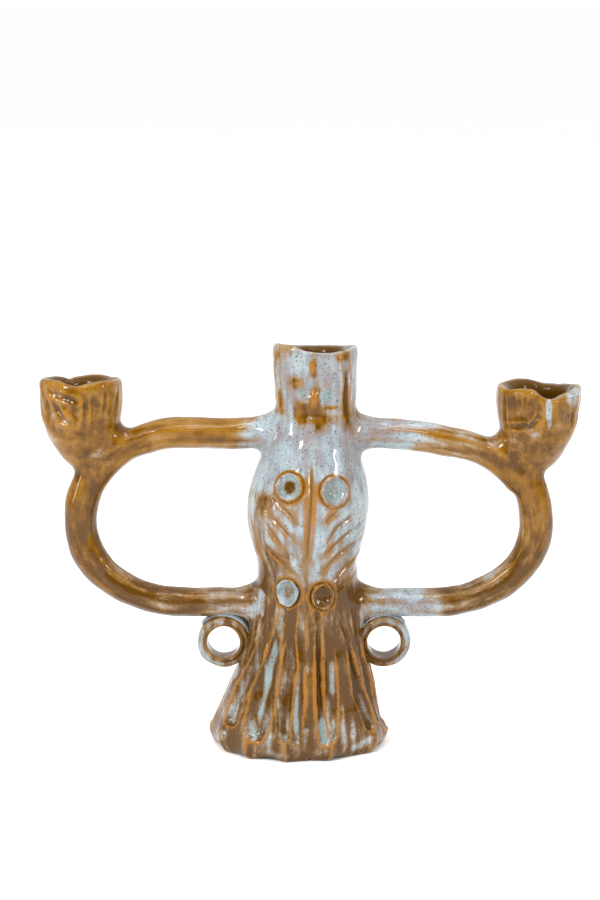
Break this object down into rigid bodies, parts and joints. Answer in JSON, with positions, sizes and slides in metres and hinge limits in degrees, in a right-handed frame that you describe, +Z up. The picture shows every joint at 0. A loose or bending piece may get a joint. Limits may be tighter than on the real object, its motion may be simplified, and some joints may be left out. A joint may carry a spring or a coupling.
{
  "type": "clay candelabra",
  "caption": "Hand-built glazed stoneware candelabra with a fluted skirt, a neck socket and looped arms that each carry a candle cup.",
  "frame": {"origin": "on the table, under the middle of the piece", "axes": "+X towards the right cup, -Y out of the carved front, +Z up"},
  "size_m": [0.2488, 0.063, 0.192],
  "materials": {
    "glaze_amber": "gloss",
    "glaze_blue": "gloss",
    "glaze_rust": "gloss",
    "bare_clay": "matte"
  },
  "bodies": {
    "root": {"skirt": "glaze_amber", "torso": "glaze_blue", "neck_socket": "glaze_blue", "neck_floor": "bare_clay", "left_upper_branch": "glaze_amber", "right_upper_branch": "glaze_amber", "left_lower_branch": "glaze_amber", "right_lower_branch": "glaze_amber", "left_cup": "glaze_amber", "right_cup": "glaze_amber", "left_ring": "glaze_blue", "right_ring": "glaze_blue", "left_ring_strap": "glaze_blue", "right_ring_strap": "glaze_blue", "left_shoulder_coil": "glaze_blue", "right_shoulder_coil": "glaze_blue", "left_hip_coil": "glaze_rust", "right_hip_coil": "glaze_rust", "left_chest_disc": "glaze_blue", "right_chest_disc": "glaze_blue", "left_waist_disc": "glaze_blue", "right_waist_disc": "glaze_rust"}
  },
  "joints": []
}
